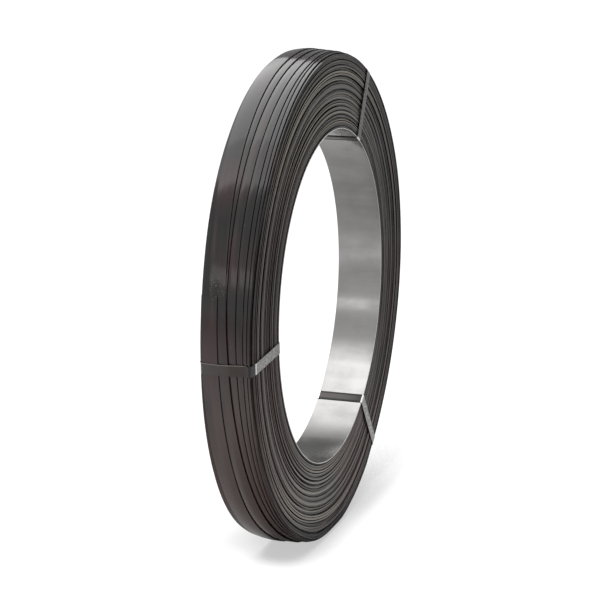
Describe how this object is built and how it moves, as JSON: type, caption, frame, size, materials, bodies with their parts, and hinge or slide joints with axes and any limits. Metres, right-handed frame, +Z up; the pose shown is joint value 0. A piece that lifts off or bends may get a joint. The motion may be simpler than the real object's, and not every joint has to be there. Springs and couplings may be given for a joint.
{
  "type": "steel strapping coil",
  "caption": "Ring-shaped coil of flat dark steel strapping wound on a thin bright core ring, with flat steel ties round its section, standing on its rim.",
  "frame": {"origin": "on the floor, under the middle of the coil's box", "axes": "+Z up; the coil's axis lies along Y, level, with the end that the picture shows towards -Y; the limb nearest the camera is on -X"},
  "size_m": [0.5985, 0.0604, 0.598],
  "materials": {
    "dark_strap": "dark brown-black painted and waxed steel strap, satin",
    "bright_steel": "bare bright cold-rolled steel, rolled round the bore",
    "tie_steel": "grey steel band, its dark paint worn on the ends of the coil"
  },
  "bodies": {
    "root": {"strap_coil": "dark_strap", "core_ring": "bright_steel", "tie_top": "tie_steel", "tie_front": "tie_steel", "tie_back": "tie_steel"}
  },
  "joints": []
}
